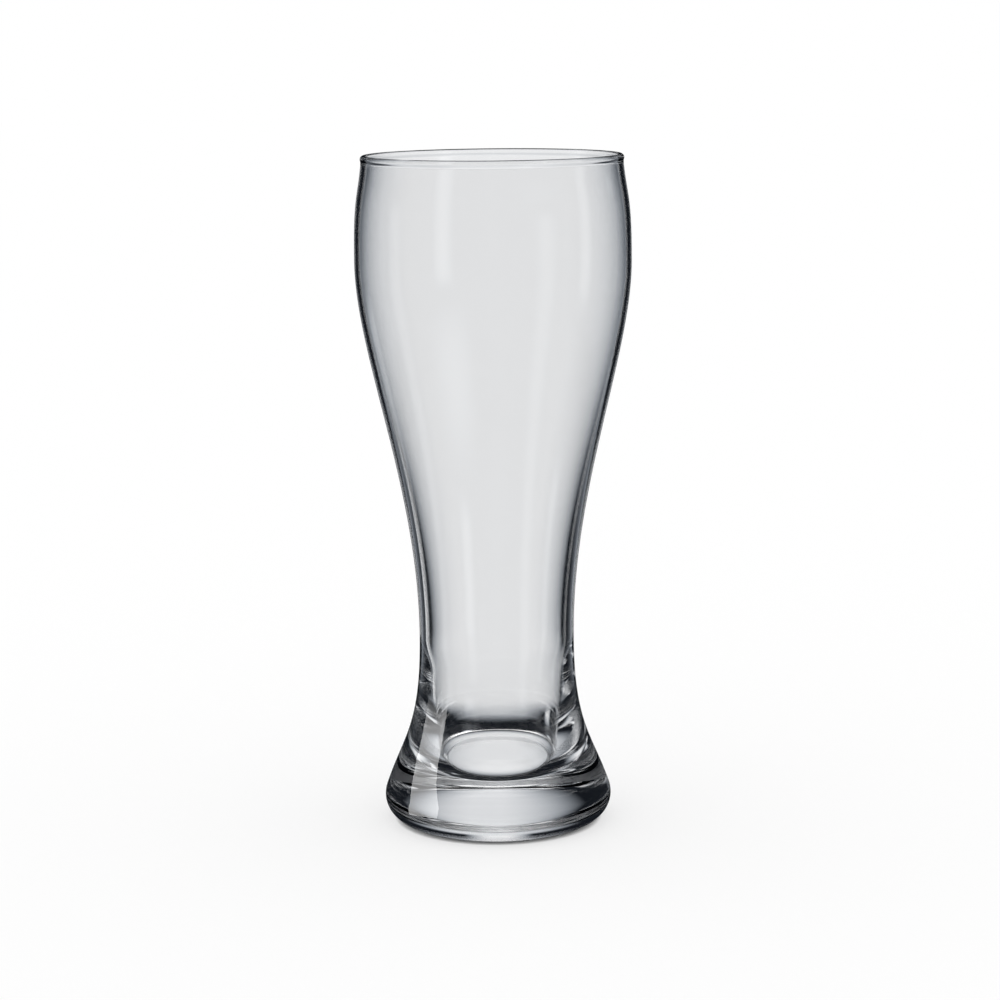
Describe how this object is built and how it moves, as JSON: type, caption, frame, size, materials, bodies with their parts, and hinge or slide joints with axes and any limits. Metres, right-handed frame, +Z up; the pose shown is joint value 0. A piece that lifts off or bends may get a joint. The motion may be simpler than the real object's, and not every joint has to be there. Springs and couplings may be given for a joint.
{
  "type": "pilsner glass",
  "caption": "Tall footed beer glass: thin bowl with a rounded lip and full shoulder, drawn in to a waist and welded to a heavy solid foot with a flat bearing ring.",
  "frame": {"origin": "centre of the bearing ring, on the plane the glass stands on", "axes": "+Z up along the axis of revolution, towards the mouth; +X and +Y are free because the glass is round"},
  "size_m": [0.0816, 0.0816, 0.2],
  "materials": {
    "clear_glass": "fire-polished, clear"
  },
  "bodies": {
    "root": {"bowl": "clear_glass", "foot": "clear_glass"}
  },
  "joints": []
}
